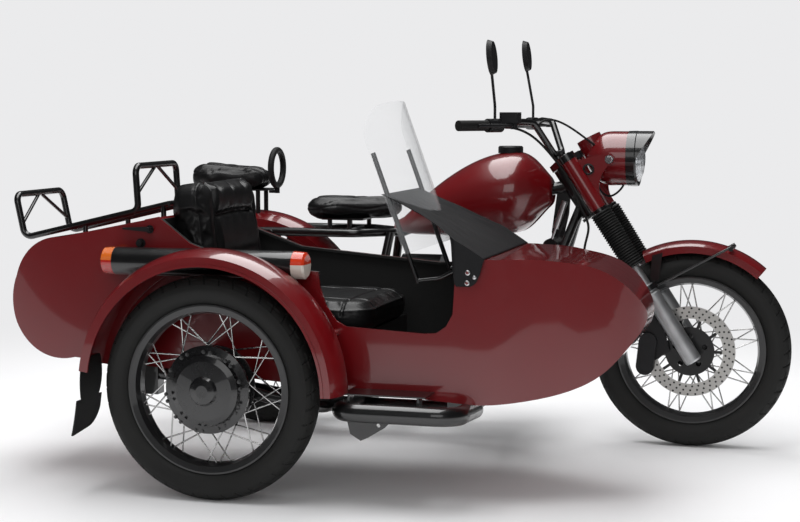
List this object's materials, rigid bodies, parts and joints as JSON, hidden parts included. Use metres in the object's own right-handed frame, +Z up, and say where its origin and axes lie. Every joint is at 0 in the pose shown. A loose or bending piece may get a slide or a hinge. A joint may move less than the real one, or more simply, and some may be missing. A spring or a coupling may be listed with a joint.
{
  "type": "sidecar motorcycle",
  "caption": "Classic boxer motorcycle with a boat-shaped sidecar, three spoked wheels, steering, opening boot lid with a rack, and a windscreen",
  "frame": {"origin": "on the floor, under the centre of the whole machine's bounding box", "axes": "+X forward, +Y to the rider's left, +Z up"},
  "size_m": [2.382, 1.6556, 1.3517],
  "materials": {
    "body_red": "deep red gloss paint",
    "frame_black": "black gloss enamel",
    "rim_black": "black powder coat",
    "steel_bright": "bright steel",
    "alloy": "cast and machined alloy",
    "chrome": "bright chrome",
    "tyre": "black rubber with block tread",
    "rubber": "black moulded rubber",
    "plastic_black": "black moulded plastic",
    "leather_black": "black grained leather",
    "vinyl_grey": "dark grey coated fabric",
    "lamp_red": "red and amber lens",
    "lamp_clear": "clear glass",
    "screen_clear": "clear acrylic sheet"
  },
  "bodies": {
    "chassis": {"bike_frame": "frame_black", "swingarm": "frame_black", "final_drive": "alloy", "rear_shocks": "frame_black", "engine_case": "alloy", "cylinders": "alloy", "intake": "plastic_black", "exhaust": "chrome", "fuel_tank": "body_red", "tank_cap": "plastic_black", "rider_saddle": "leather_black", "passenger_saddle": "leather_black", "saddle_brackets": "frame_black", "grab_handle": "rubber", "rear_fender": "body_red", "tail_lamp": "lamp_red", "plate_holder": "frame_black", "sidecar_frame": "frame_black", "body_shell": "body_red", "sidecar_fender": "body_red", "mudflap": "rubber", "lamp_tube": "frame_black", "lamp_lenses": "lamp_red", "windscreen": "screen_clear", "screen_rods": "frame_black", "apron": "vinyl_grey", "trunk_latches": "frame_black", "steering_damper": "steel_bright", "seat_base": "frame_black", "seat_cushion": "leather_black", "seat_back": "leather_black"},
    "front_fork": {"fork_legs": "alloy", "fork_gaiters": "rubber", "fork_shrouds": "body_red", "fork_yokes": "frame_black", "handlebar": "frame_black", "grips": "rubber", "bar_controls": "plastic_black", "mirrors": "plastic_black", "headlamp_shell": "body_red", "headlamp_rim": "plastic_black", "headlamp_lens": "lamp_clear", "front_fender": "body_red", "fender_stays": "frame_black", "brake_caliper": "plastic_black", "fork_cables": "rubber"},
    "front_wheel": {"front_tyre": "tyre", "front_rim": "rim_black", "front_hub": "rim_black", "brake_disc": "steel_bright"},
    "rear_wheel": {"rear_tyre": "tyre", "rear_rim": "rim_black", "rear_hub": "rim_black"},
    "sidecar_wheel": {"sidecar_tyre": "tyre", "sidecar_rim": "rim_black", "sidecar_hub": "rim_black"},
    "boot_lid_body": {"boot_lid": "body_red", "luggage_rack": "frame_black"}
  },
  "joints": [
    {"name": "steering", "type": "hinge", "parent": "chassis", "child": "front_fork", "pos_m": [0.82865, 0.3925, 0.296], "axis": [-0.5417, 0, 0.8406], "range_deg": [-32, 32]},
    {"name": "front_wheel_spin", "type": "hinge", "parent": "front_fork", "child": "front_wheel", "pos_m": [0.869, 0.3925, 0.322], "axis": [0, 1, 0], "continuous": true},
    {"name": "rear_wheel_spin", "type": "hinge", "parent": "chassis", "child": "rear_wheel", "pos_m": [-0.631, 0.3925, 0.322], "axis": [0, 1, 0], "continuous": true},
    {"name": "sidecar_wheel_spin", "type": "hinge", "parent": "chassis", "child": "sidecar_wheel", "pos_m": [-0.364, -0.7475, 0.322], "axis": [0, 1, 0], "continuous": true},
    {"name": "boot_lid_hinge", "type": "hinge", "parent": "chassis", "child": "boot_lid_body", "pos_m": [-0.85, -0.069, 0.74825], "axis": [-0.9803, 0, -0.1973], "range_deg": [0, 70]}
  ]
}
